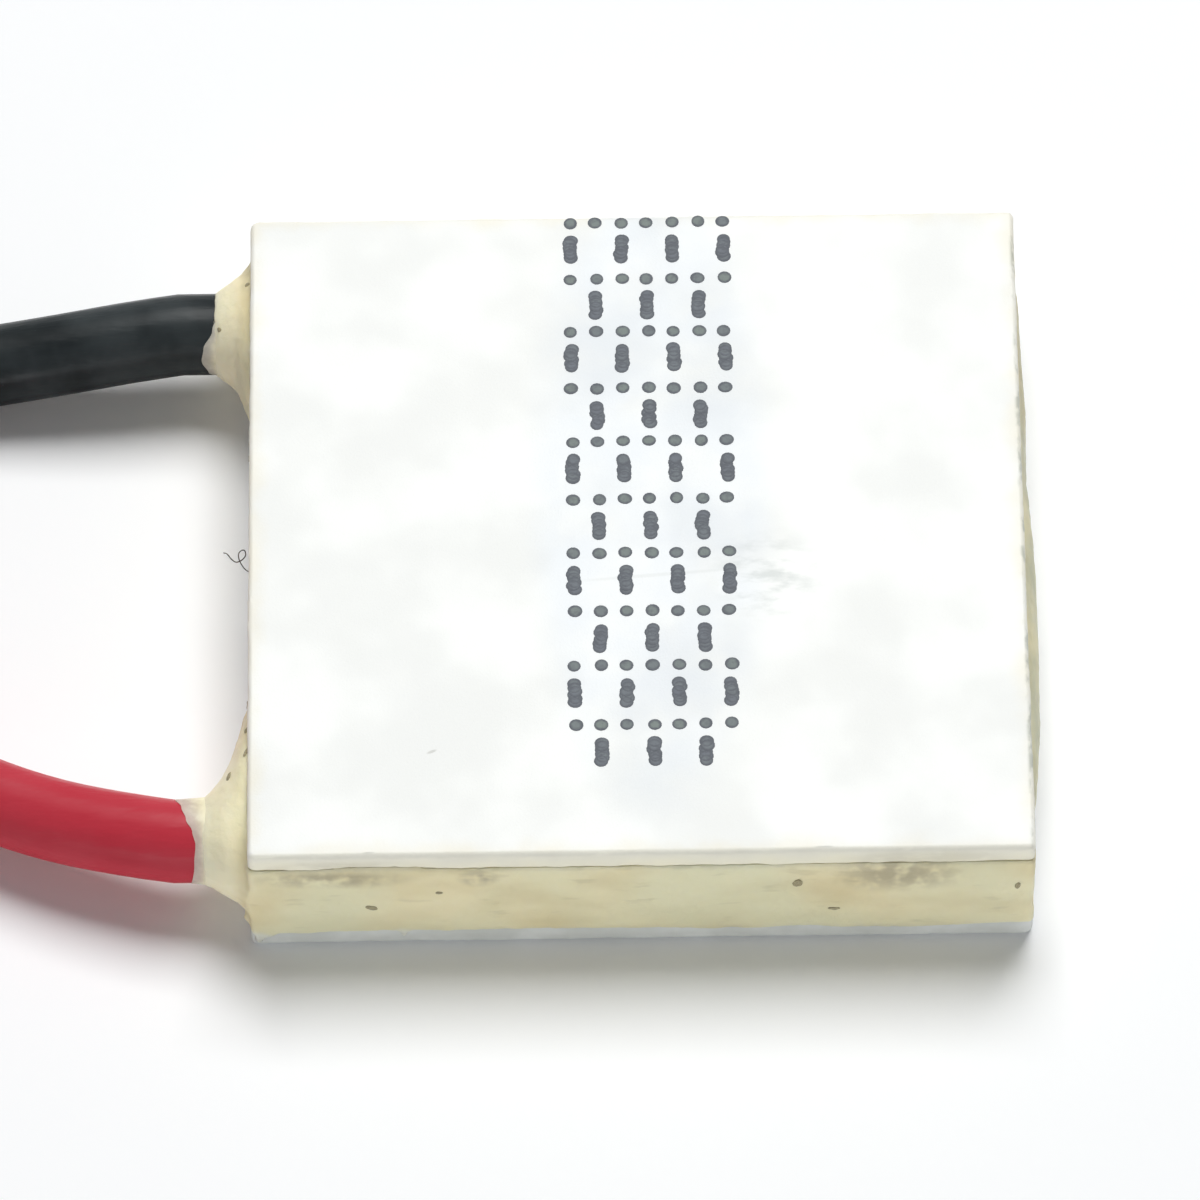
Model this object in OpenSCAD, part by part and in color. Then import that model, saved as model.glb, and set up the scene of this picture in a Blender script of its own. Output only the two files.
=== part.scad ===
// Thermoelectric cooling module: two alumina plates, a series circuit of
// bismuth telluride legs between them, a perimeter seal and two leads.
// Rests on its hot plate, with the origin at the middle of the hot face.
// The leads leave towards -X.

/* [Plates] */
// Plate width along X, the way the leads leave
plate_x = 15; // [14.6:0.1:20]
// Plate width along Y
plate_y = 15; // [14.6:0.1:20]
// Thickness of each alumina plate
plate_t = 0.6; // [0.4:0.05:1.2]
// Radius of the worn rear left corner of the cold plate
corner_wear = 0.14; // [0.02:0.01:0.4]
// Size of the chip out of the hot plate's front right corner
corner_chip = 0.12; // [0.02:0.01:0.3]

/* [Legs and tabs] */
// Side of each square leg
leg_w = 1.4; // [0.8:0.05:1.6]
// Height of each leg
leg_h = 1.35; // [1.05:0.05:3]
// Distance between the middles of neighbouring legs
leg_pitch = 2.28; // [1.9:0.02:2.28]
// Thickness of each solder layer on a leg's end
solder_t = 0.05; // [0.02:0.01:0.1]
// Thickness of each copper tab
tab_t = 0.2; // [0.1:0.05:0.4]
// How far a tab reaches past the legs that it joins
tab_margin = 0.12; // [0.02:0.01:0.15]

/* [Seal] */
// Wall of the seal, inwards from the plates' edges
seal_w = 0.7; // [0.3:0.05:0.8]
// Bulge of the seal past the plates' edges at mid height
seal_proud = 0.05; // [0.02:0.01:0.15]
// Extra bulge on the front half of the side away from the leads
seal_bulge = 0.24; // [0.1:0.01:0.4]
// Height of the lip smeared up the cold plate's front edge
lip_h = 0.28; // [0.05:0.01:0.35]
// Thickness of that lip
lip_t = 0.04; // [0.02:0.01:0.1]
// Length of the flared skirt round the black lead
black_skirt_l = 0.8; // [0.5:0.05:1.2]
// Length of the flared skirt round the red lead
red_skirt_l = 1.2; // [0.5:0.05:1.2]
// How far the black lead's skirt spreads past it where it meets the plates
black_flare = 0.95; // [0.4:0.05:1]
// How far the red lead's skirt spreads past it where it meets the plates
red_flare = 1.3; // [0.4:0.05:1.4]
// Thickness of a skirt's thin end on the lead
skirt_film = 0.05; // [0.02:0.01:0.1]

/* [Leads] */
// Outside diameter of a lead's insulation
lead_d = 1.6; // [1:0.05:1.75]
// Diameter of a lead's tinned strands
wire_d = 0.76; // [0.4:0.02:0.9]
// How far the rear, black lead is outside the middle of its pad
black_shift = 0.15; // [-0.4:0.05:0.4]
// How far the front, red lead is outside the middle of its pad
red_shift = 0.4; // [-0.4:0.05:0.4]
// How far the solder reaches on each side of the strands
fillet_w = 0.3; // [0.1:0.05:0.35]
// Length of the stripped end of each lead
bare_l = 4.5; // [3:0.5:4.5]

/* [Coil] */
// Radius of the outer turn, at the middle of the lead
turn_r = 10.2; // [9:0.2:12]
// Turns that each lead makes
turns = 2.19; // [2:0.01:2.4]
// Spacing of neighbouring turns
turn_pitch = 1.62; // [1.6:0.01:1.7]

/* [Hidden] */
LEGS = 34;
$fn = 48;

// Circuit: a serpentine of 36 cells, of which the first and last, the two
// corners on the lead side, have no leg and carry the leads.
COLS = 6;
CELLS = COLS * COLS;

// Heights, from the hot face up
hot_top = plate_t;
hot_solder_z = hot_top + tab_t;
leg_z = hot_solder_z + solder_t;
cold_solder_z = leg_z + leg_h;
cold_tab_z = cold_solder_z + solder_t;
cold_z = cold_tab_z + tab_t;
gap = cold_z - hot_top;

tab_w = leg_w + 2 * tab_margin;
lead_z = hot_top + gap / 2;
lead_in_x = -(plate_x / 2 - seal_w);
corner_cell = (COLS - 1) / 2 * leg_pitch;
black_y = corner_cell + black_shift;
red_y = -corner_cell - red_shift;
bulge_y = -0.147 * plate_y;
bulge_half = plate_y / 3;
black_skirt_z = [0.25, cold_z + 0.15];
red_skirt_z = [0.02, cold_z + 0.15];
over = 0.01;

// Leads: routes of the stretches that are not coiled, then the coil that both
// are wound into, the red lead's turns lying on the black lead's.
LEAD_SIDES = 8;
out_x = -(plate_x / 2 + 1.2);
black_points = [
    [-10, 5.73, 1.43], [-11.2, 5.62, 1.245], [-12.5, 5.53, 1.03],
    [-13.8, 5.42, 0.88], [-15.2, 5.2, 0.81], [-16.6, 4.95, 0.8],
    [-18, 4.7, 0.8], [-19.4, 4.42, 0.8], [-20.8, 4.2, 0.8],
    [-22.1, 4.06, 0.8], [-23.3, 4, 0.8], [-24.5, 4, 0.8]
];
red_points = [
    [-10, -5.82, 1.42], [-11.2, -5.42, 1.28], [-12.4, -4.86, 1.14],
    [-13.5, -4.15, 0.98], [-14.6, -3.25, 0.9], [-15.7, -2.2, 0.98],
    [-16.8, -1.05, 1.2], [-17.9, 0.1, 1.47], [-19, 1.2, 1.75],
    [-20.2, 2.25, 2.03], [-21.5, 3.1, 2.25], [-23, 3.75, 2.39],
    [-24.1, 4, 2.4], [-24.5, 4, 2.4]
];
coil_x = -31;
coil_y = 4 - turn_r;
run_in = 6.5;
tail_r = lead_d / 2 - 0.02;
end_curl = 75;
curl_r = 3.6;
tail_l = 1;

ALUMINA = "#f4f1ea";
COPPER = "#b87349";
SOLDER = "#b9bcc0";
N_TYPE = "#8b8e94";
P_TYPE = "#777a82";
SEALANT = "#ddd3b4";
BLACK = "#2b3236";
RED = "#a83036";
TINNED = "#c6c8ca";

function leg_name(n) = str("leg_", n < 10 ? "0" : "", n);

// Middle of serpentine cell n, from 0 at the front left corner
function cell_row(n) = floor(n / COLS);
function cell_col(n) = cell_row(n) % 2 == 0 ? n % COLS : COLS - 1 - n % COLS;
function cell_at(n) = [
    (cell_col(n) - (COLS - 1) / 2) * leg_pitch,
    (cell_row(n) - (COLS - 1) / 2) * leg_pitch
];

// A lead's straight start, from inside the seal to just outside its skirt
function start_points(y) = [
    [lead_in_x, y, lead_z], [out_x, y, lead_z], [out_x - 0.2, y, lead_z]
];
function unit(v) = v / norm(v);
function heading(points, n) = unit(
    points[min(n + 1, len(points) - 1)] - points[max(n - 1, 0)]
);
function lead_ring(at, along) =
    let (side = unit(cross(along, [0, 0, 1])), up = cross(side, along))
    [for (k = [0 : LEAD_SIDES - 1])
        let (a = 360 / LEAD_SIDES * (k + 0.5))
        at + lead_d / 2 * (cos(a) * side + sin(a) * up)];

// --- Plates ---

module worn_corner(r) {
    difference() {
        square(r);
        translate([r, r]) circle(r);
    }
}

module cold_plate() {
    color(ALUMINA)
    translate([0, 0, cold_z])
    linear_extrude(plate_t)
    difference() {
        square([plate_x, plate_y], center = true);
        translate([-plate_x / 2, plate_y / 2])
        rotate(-90)
        worn_corner(corner_wear);
    }
}

module hot_plate() {
    color(ALUMINA)
    difference() {
        translate([-plate_x / 2, -plate_y / 2, 0])
        cube([plate_x, plate_y, plate_t]);
        translate([plate_x / 2, -plate_y / 2, 0])
        rotate([45, 0, 45])
        cube(corner_chip * [1, 1, 1] * sqrt(2), center = true);
    }
}

// --- Circuit ---

// One flat bar over serpentine cells n and n + 1
module tab(n) {
    mid = (cell_at(n) + cell_at(n + 1)) / 2;
    span = cell_at(n + 1) - cell_at(n);
    translate([mid[0], mid[1], tab_t / 2])
    cube([abs(span[0]) + tab_w, abs(span[1]) + tab_w, tab_t], center = true);
}

module hot_tabs() {
    color(COPPER)
    translate([0, 0, hot_top])
    for (n = [2 : 2 : CELLS - 4]) tab(n);
}

module cold_tabs() {
    color(COPPER)
    translate([0, 0, cold_tab_z])
    for (n = [1 : 2 : CELLS - 3]) tab(n);
}

module pad_red() {
    color(COPPER)
    translate([0, 0, hot_top])
    tab(0);
}

module pad_black() {
    color(COPPER)
    translate([0, 0, hot_top])
    tab(CELLS - 2);
}

module solder_layer(z) {
    color(SOLDER)
    for (n = [1 : LEGS])
        translate([cell_at(n)[0], cell_at(n)[1], z + solder_t / 2])
        cube([leg_w, leg_w, solder_t], center = true);
}

module solder_hot() {
    solder_layer(hot_solder_z);
}

module solder_cold() {
    solder_layer(cold_solder_z);
}

// Legs alternate between n-type and p-type along the circuit
module leg(n) {
    color(n % 2 == 1 ? N_TYPE : P_TYPE)
    translate([cell_at(n)[0], cell_at(n)[1], leg_z + leg_h / 2])
    cube([leg_w, leg_w, leg_h], center = true);
}

// --- Lead ends inside the module ---

module lead_axis(side_y) {
    translate([lead_in_x, side_y, lead_z])
    rotate([0, 90, 0])
    children();
}

// From the end of the insulation to past the middle of the lead pad
function wire_l() = cell_at(0)[0] + tab_w / 2 - 0.1 - lead_in_x;

module wire(side_y) {
    color(TINNED)
    lead_axis(side_y)
    cylinder(d = wire_d, h = wire_l());
}

module wire_black() {
    wire(black_y);
}

module wire_red() {
    wire(red_y);
}

// Solder that stands on the pad and holds the strands up to their middle
module joint(side_y, pad_y) {
    low_y = max(side_y - wire_d / 2 - fillet_w, pad_y - tab_w / 2);
    high_y = min(side_y + wire_d / 2 + fillet_w, pad_y + tab_w / 2);
    pad_left = cell_at(0)[0] - tab_w / 2;
    color(SOLDER)
    difference() {
        translate([pad_left + 0.15, 0, 0])
        rotate([90, 0, 90])
        linear_extrude(tab_w - 0.2)
        polygon([
            [low_y, hot_solder_z],
            [high_y, hot_solder_z],
            [side_y + wire_d / 2 + 0.02, lead_z],
            [side_y + wire_d / 4, lead_z + wire_d / 2 + 0.06],
            [side_y - wire_d / 4, lead_z + wire_d / 2 + 0.06],
            [side_y - wire_d / 2 - 0.02, lead_z]
        ]);
        lead_axis(side_y)
        cylinder(d = wire_d, h = wire_l());
    }
}

module joint_black() {
    joint(black_y, cell_at(CELLS - 1)[1]);
}

module joint_red() {
    joint(red_y, cell_at(0)[1]);
}

// --- Seal ---

// Section across the module, with sides that bulge at mid height
module bead_section(width) {
    r = (pow(gap / 2, 2) + pow(seal_proud, 2)) / (2 * seal_proud);
    square([width, gap], center = true);
    intersection() {
        square([width + 4 * seal_proud, gap], center = true);
        union() {
            for (s = [-1, 1])
                translate([s * (width / 2 + seal_proud - r), 0])
                circle(r, $fn = 200);
        }
    }
}

module bead_block() {
    intersection() {
        rotate([90, 0, 0])
        linear_extrude(plate_y + 1, center = true)
        bead_section(plate_x);
        rotate([90, 0, 90])
        linear_extrude(plate_x + 1, center = true)
        bead_section(plate_y);
    }
}

// Swelling on the front half of the +X side
module side_bulge() {
    r = (pow(bulge_half, 2) + pow(seal_bulge, 2)) / (2 * seal_bulge);
    intersection() {
        translate([plate_x / 2 + seal_bulge - r, bulge_y, -gap / 2 + 0.2])
        cylinder(r = r, h = gap - 0.4, $fn = 400);
        translate([plate_x / 2 - seal_w / 2, bulge_y - bulge_half, -gap / 2])
        cube([seal_w + 1, 2 * bulge_half, gap]);
    }
}

// Trumpet-shaped skirt, wide on the plates' edge and thin on the lead
module skirt(side_y, long, flare, z_range) {
    root_r = lead_d / 2 + skirt_film + flare;
    intersection() {
        translate([-plate_x / 2, side_y, lead_z])
        rotate([0, -90, 0])
        rotate_extrude($fn = 96)
        difference() {
            square([root_r, long]);
            translate([root_r, long])
            scale([1, long / flare])
            circle(flare);
        }
        translate([-plate_x / 2 - long - 1, -plate_y / 2 - lip_t, z_range[0]])
        cube([long + 1, plate_y + 2 * lip_t, z_range[1] - z_range[0]]);
    }
}

module seal() {
    color(SEALANT)
    difference() {
        union() {
            translate([0, 0, hot_top + gap / 2]) {
                bead_block();
                side_bulge();
            }
            translate([-plate_x / 2 + 0.3, -plate_y / 2 - lip_t, cold_z - 0.1])
            cube([plate_x - 0.6, lip_t, lip_h + 0.1]);
            skirt(black_y, black_skirt_l, black_flare, black_skirt_z);
            skirt(red_y, red_skirt_l, red_flare, red_skirt_z);
        }
        translate([0, 0, hot_top + gap / 2])
        cube([plate_x - 2 * seal_w, plate_y - 2 * seal_w, gap + over], center = true);
        for (side_y = [black_y, red_y])
            translate([lead_in_x + 1, side_y, lead_z])
            rotate([0, -90, 0])
            rotate(180 / LEAD_SIDES)
            cylinder(d = lead_d, h = lead_in_x - out_x + 1.5, $fn = LEAD_SIDES);
    }
}

// --- Leads outside the module ---

module lead_tube(route) {
    rings = [for (n = [0 : len(route) - 1]) lead_ring(route[n], heading(route, n))];
    points = [for (r = rings) each r];
    last = len(route) - 1;
    walls = [
        for (n = [0 : last - 1], k = [0 : LEAD_SIDES - 1])
            let (a = n * LEAD_SIDES + k, b = n * LEAD_SIDES + (k + 1) % LEAD_SIDES)
            [a, a + LEAD_SIDES, b + LEAD_SIDES, b]
    ];
    caps = [
        [for (k = [0 : LEAD_SIDES - 1]) k],
        [for (k = [LEAD_SIDES - 1 : -1 : 0]) last * LEAD_SIDES + k]
    ];
    polyhedron(points, concat(walls, caps));
}

module lead_black() {
    color(BLACK)
    lead_tube(concat(start_points(black_y), black_points));
}

module lead_red() {
    color(RED)
    lead_tube(concat(start_points(red_y), red_points));
}

// Where the curled inner end of a coil runs straight, seen from its middle
end_angle = 90 + 360 * turns;
end_r = turn_r - turn_pitch * turns;
end_heading = end_angle + 90 + end_curl;
function polar(r, a) = r * [cos(a), sin(a)];
straight_at = polar(end_r, end_angle)
    + curl_r * (polar(sin(end_curl), end_angle + 90)
    + polar(1 - cos(end_curl), end_angle + 180));

module end_axis(z, along) {
    at = [coil_x, coil_y] + straight_at + polar(along, end_heading);
    translate([at[0], at[1], z])
    rotate([0, 90, end_heading])
    children();
}

// Outer shape of one lead's turns, with the straight stretches at its ends
module lead_coil(z) {
    translate([coil_x, coil_y, z - lead_d / 2])
    rotate_extrude($fn = 120)
    translate([end_r - lead_d / 2, 0])
    square([turn_r - end_r + lead_d, lead_d]);
    translate([coil_x, coil_y + turn_r - 0.04, z])
    rotate([0, 90, 0])
    cylinder(r = tail_r, h = run_in);
    end_axis(z, -2)
    cylinder(r = tail_r, h = 2 + tail_l);
}

module coil_black() {
    color(BLACK)
    lead_coil(lead_d / 2);
}

module coil_red() {
    color(RED)
    lead_coil(lead_d * 3 / 2);
}

module bare_end(z) {
    color(TINNED)
    end_axis(z, tail_l)
    cylinder(d = wire_d, h = bare_l);
}

module end_black() {
    bare_end(lead_d / 2);
}

module end_red() {
    bare_end(lead_d * 3 / 2);
}

hot_plate();
cold_plate();
hot_tabs();
cold_tabs();
pad_black();
pad_red();
solder_hot();
solder_cold();
for (n = [1 : LEGS])
    leg(n);
joint_black();
joint_red();
wire_black();
wire_red();
seal();
lead_black();
lead_red();
coil_black();
coil_red();
end_black();
end_red();
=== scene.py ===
"""Thermoelectric cooling module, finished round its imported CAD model.

Each piece is an operator in the sidebar's Cooling Module panel.
Pieces are modelled in millimetres, one unit each, and made metres when they
are finished. X points away from the leads, and the hot face lies at Z = 0.
"""

import functools
import math
import random

import bmesh
import bpy
from mathutils import Matrix, Vector


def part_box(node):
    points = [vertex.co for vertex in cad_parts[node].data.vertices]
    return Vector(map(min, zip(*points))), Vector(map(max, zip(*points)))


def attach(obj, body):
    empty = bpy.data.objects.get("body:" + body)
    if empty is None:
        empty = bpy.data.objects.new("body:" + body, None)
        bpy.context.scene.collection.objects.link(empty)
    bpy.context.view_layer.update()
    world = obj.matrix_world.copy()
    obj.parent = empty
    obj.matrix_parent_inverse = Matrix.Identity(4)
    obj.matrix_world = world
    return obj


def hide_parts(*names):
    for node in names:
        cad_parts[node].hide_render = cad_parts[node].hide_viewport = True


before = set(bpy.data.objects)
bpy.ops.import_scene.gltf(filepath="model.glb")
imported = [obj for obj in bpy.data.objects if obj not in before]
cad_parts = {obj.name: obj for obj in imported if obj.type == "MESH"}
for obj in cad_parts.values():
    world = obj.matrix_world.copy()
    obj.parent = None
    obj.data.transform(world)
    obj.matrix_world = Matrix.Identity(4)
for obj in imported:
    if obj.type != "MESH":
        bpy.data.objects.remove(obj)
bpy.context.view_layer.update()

bl_info = {
    "name": "Thermoelectric Cooling Module",
    "version": (1, 0, 0),
    "blender": (4, 5, 0),
    "location": "View3D > Sidebar > Cooling Module",
    "description": "Builds a small thermoelectric cooling module with coiled leads",
    "category": "Add Mesh",
}

MM = 0.001
BODY = "root"


def box_mm(node):
    """Lowest and highest corner of a CAD node, in millimetres."""
    return [Vector(corner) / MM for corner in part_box(node)]


COLD_LOW, COLD_HIGH = box_mm("cold_plate")
HOT_LOW, HOT_HIGH = box_mm("hot_plate")
BLACK_AXIS = sum(box_mm("wire_black"), Vector()) / 2
RED_AXIS = sum(box_mm("wire_red"), Vector()) / 2
FRONT_Y = COLD_LOW.y
LEAD_D = 1.6

# Routes of the leads from inside the seal to the coil
BLACK_ROUTE = [
    (-6.8, 5.85, 1.525), (-8.7, 5.85, 1.525), (-8.9, 5.85, 1.525),
    (-10, 5.73, 1.43), (-11.2, 5.62, 1.245), (-12.5, 5.53, 1.03),
    (-13.8, 5.42, 0.88), (-15.2, 5.2, 0.81), (-16.6, 4.95, 0.8),
    (-18, 4.7, 0.8), (-19.4, 4.42, 0.8), (-20.8, 4.2, 0.8),
    (-22.1, 4.06, 0.8), (-23.3, 4, 0.8), (-24.5, 4, 0.8),
]
RED_ROUTE = [
    (-6.8, -6.1, 1.525), (-8.7, -6.1, 1.525), (-8.9, -6.1, 1.525),
    (-10, -5.82, 1.42), (-11.2, -5.42, 1.28), (-12.4, -4.86, 1.14),
    (-13.5, -4.15, 0.98), (-14.6, -3.25, 0.9), (-15.7, -2.2, 0.98),
    (-16.8, -1.05, 1.2), (-17.9, 0.1, 1.47), (-19, 1.2, 1.75),
    (-20.2, 2.25, 2.03), (-21.5, 3.1, 2.25), (-23, 3.75, 2.39),
    (-24.1, 4, 2.4), (-24.5, 4, 2.4),
]
# Coil: middle, first turn's radius, turns, and how much each turn tightens; then
# a smaller curl with a short straight tail
COIL_MIDDLE = Vector((-31, -6.2))
TURN_R, TURNS, TURN_PITCH = 10.2, 2.19, 1.62
CURL_R, CURL_ANGLE, CURL_STEPS, TAIL = 3.6, 75, 12, 1
# Steps: along a route, from its end to the coil, and along the coil
ROUTE_STEP, JOIN_STEPS, COIL_STEP = 0.5, 10, 0.8
BARE = 4.5
# Tinned strands: bundle's diameter, turns over the bare length, points along
# each, and reach back into the insulation
STRAND_D, STRAND_TWIST, STRAND_STEPS, SUNK = 0.76, 0.55, 24, 0.2


# --- Settings ---


def length_mm(name, description, default, low=0.0):
    """A length in millimetres that a user may change."""
    return bpy.props.FloatProperty(
        name=name, description=description, default=default, min=low, max=20,
        precision=3,
    )


def linear(hex_colour):
    """Linear RGB from an sRGB hex colour."""
    values = [int(hex_colour[i:i + 2], 16) / 255 for i in (1, 3, 5)]
    return [v / 12.92 if v <= 0.04045 else ((v + 0.055) / 1.055) ** 2.4 for v in values]


def colour(name, description, hex_colour):
    """A colour that a user may change."""
    return bpy.props.FloatVectorProperty(
        name=name, description=description, default=linear(hex_colour), min=0, max=1,
        subtype="COLOR",
    )


class PlateSettings(bpy.types.PropertyGroup):
    """Sizes and colours of the ceramic plates."""

    wear: length_mm("Edge wear", "Depth of the unevenness along the edges, mm", 0.03)
    rim: length_mm("Rim", "Radius of the rounded edge round each face, mm", 0.1)
    corner: length_mm("Corner", "Radius of the plates' sharp corners, mm", 0.13)
    ceramic: colour("Ceramic", "Fired alumina", "#f0f1ef")
    stained: colour("Stained rim", "Alumina with a trace of sealant", "#ece8da")
    # Grey rim: partly greyed by handling, partly painted shade on the hot plate's edge,
    # which lies in shade near the floor
    grey: colour("Grey rim", "Edge of the hot plate, greyed by handling", "#d2d3ce")


class SealSettings(bpy.types.PropertyGroup):
    """Sizes and colours of the perimeter seal."""

    detail: length_mm("Detail", "Side of the cells the bead is meshed with, mm",
                      0.06, 0.03)
    ripple: length_mm("Ripple", "Depth of the bead's soft waves, mm", 0.07)
    sealant: colour("Sealant", "Cured sealant", "#f2e7c0")
    shaded: colour("Patches", "Denser, browner patches of sealant", "#e0d1a6")
    film: colour("Film", "Thin sealant drawn out along a lead", "#e9e4d6")


class PrintSettings(bpy.types.PropertyGroup):
    """Sizes and colours of the printed dots."""

    dot: length_mm("Dot", "Diameter of one printed dot, mm", 0.27)
    pitch: length_mm("Pitch", "Distance between dots across the band, mm", 0.5)
    ink: colour("Ink", "Dried marking ink", "#5d626c")


class LeadSettings(bpy.types.PropertyGroup):
    """Sizes and colours of the leads."""

    black: colour("Black", "Black PVC insulation", "#13181a")
    red: colour("Red", "Red PVC insulation", "#ba3341")
    strands: bpy.props.IntProperty(
        name="Strands", description="Strands round the middle one", default=6, min=3,
    )


class StageSettings(bpy.types.PropertyGroup):
    """Floor, light and camera."""

    floor: colour("Floor", "Plain paper floor", "#f7f8fa")
    sky: bpy.props.FloatProperty(
        name="Sky", description="Strength of the even light", default=0.12,
    )
    key: bpy.props.FloatProperty(
        name="Key", description="Strength of the soft lamp behind, W", default=2.3,
    )
    fill: bpy.props.FloatProperty(
        name="Fill", description="Strength of the low lamp in front, W", default=0.9,
    )


# --- Making and finishing meshes ---


def added(name):
    """The object that the last operator added, named."""
    made = bpy.context.object
    made.name = made.data.name = name
    return made


def deselect():
    """Leaves nothing selected, in object mode."""
    if bpy.context.object and bpy.context.object.mode != "OBJECT":
        bpy.ops.object.mode_set(mode="OBJECT")
    bpy.ops.object.select_all(action="DESELECT")


def pick(obj, *others):
    """Selects some objects and makes the first one active."""
    deselect()
    for one in (obj, *others):
        one.select_set(True)
    bpy.context.view_layer.objects.active = obj


def settle(obj):
    """Moves an object's place, turn and scale into its mesh."""
    pick(obj)
    bpy.ops.object.transform_apply(location=True, rotation=True, scale=True)
    return obj


def block(name, low, high):
    """A plain box between two corners."""
    low, high = Vector(low), Vector(high)
    deselect()
    bpy.ops.mesh.primitive_cube_add(size=1, location=(low + high) / 2, scale=high - low)
    return settle(added(name))


def tube(name, line, radius, roundness):
    """A round rod of a radius along a line of points, with closed ends."""
    data = bpy.data.curves.new(name, "CURVE")
    data.dimensions = "3D"
    data.bevel_depth = radius
    data.bevel_resolution = roundness
    data.use_fill_caps = True
    spline = data.splines.new("POLY")
    spline.points.add(len(line) - 1)
    for point, place in zip(spline.points, line):
        point.co = (*place, 1)
    made = bpy.data.objects.new(name, data)
    bpy.context.collection.objects.link(made)
    return made


def edit(obj, mode="FACE"):
    """Opens an object in edit mode with nothing selected."""
    pick(obj)
    bpy.ops.object.mode_set(mode="EDIT")
    bpy.ops.mesh.select_mode(type=mode)
    bpy.ops.mesh.select_all(action="DESELECT")


def select_edges(obj, test):
    """In edit mode, selects the edges that pass a test."""
    mesh = bmesh.from_edit_mesh(obj.data)
    for edge in mesh.edges:
        edge.select = test(edge)
    mesh.select_flush_mode()
    bmesh.update_edit_mesh(obj.data)


def middle(edge):
    """Middle of an edge."""
    return (edge.verts[0].co + edge.verts[1].co) / 2


def rise(edge):
    """Height from one end of an edge to the other."""
    return abs(edge.verts[0].co.z - edge.verts[1].co.z)


def modify(obj, kind, **settings):
    """Adds a modifier with its settings and applies it."""
    pick(obj)
    made = obj.modifiers.new(kind.title(), kind)
    for name, value in settings.items():
        setattr(made, name, value)
    bpy.ops.object.modifier_apply(modifier=made.name)


def cut(obj, cutter):
    """Cuts one closed mesh with another."""
    modify(obj, "BOOLEAN", object=cutter, operation="DIFFERENCE", solver="MANIFOLD")


def ruffle(obj, size, depth, **settings):
    """Roughens a mesh by a depth, with clouds of a size, both in millimetres."""
    clouds = bpy.data.textures.new("clouds", "CLOUDS")
    clouds.noise_scale = size
    clouds.noise_depth = 2
    modify(
        obj, "DISPLACE", texture=clouds, strength=depth, texture_coords="LOCAL",
        **settings,
    )


def extrude(step, stretch=(1, 1, 1), centre=(0, 0, 0)):
    """In edit mode, draws the selection out by a step and stretches its end."""
    bpy.ops.mesh.extrude_region_move(TRANSFORM_OT_translate={"value": step})
    bpy.ops.transform.resize(value=stretch, center_override=centre)


def face_outward():
    """Turns all faces of the mesh being edited outward, and leaves edit mode."""
    bpy.ops.mesh.select_all(action="SELECT")
    bpy.ops.mesh.normals_make_consistent(inside=False)
    bpy.ops.object.mode_set(mode="OBJECT")


def remove(*objs):
    """Deletes helper objects with their meshes."""
    for obj in objs:
        data = obj.data
        bpy.data.objects.remove(obj)
        if data.users == 0:
            bpy.data.meshes.remove(data)


def finish_piece(obj, material, smooth, replaces=()):
    """Turns millimetres into metres, and gives a piece its finish and body."""
    obj.scale = (MM, MM, MM)
    settle(obj)
    bpy.ops.object.shade_smooth_by_angle(angle=math.radians(smooth))
    obj.data.materials.clear()
    obj.data.materials.append(material)
    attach(obj, BODY)
    if replaces:
        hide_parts(*replaces)
    return obj


# --- Materials ---


def add_node(tree, kind, sockets=None, **settings):
    """Adds a node, with its settings, and its sockets set or linked."""
    made = tree.nodes.new(kind)
    for name, value in settings.items():
        setattr(made, name, value)
    for name, value in (sockets or {}).items():
        if isinstance(value, bpy.types.NodeSocket):
            tree.links.new(value, made.inputs[name])
        else:
            made.inputs[name].default_value = value
    return made


def rgba(values, share=1.0):
    """A colour with full alpha, darkened to a share of itself."""
    return (*(share * v for v in values[:3]), 1.0)


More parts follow.
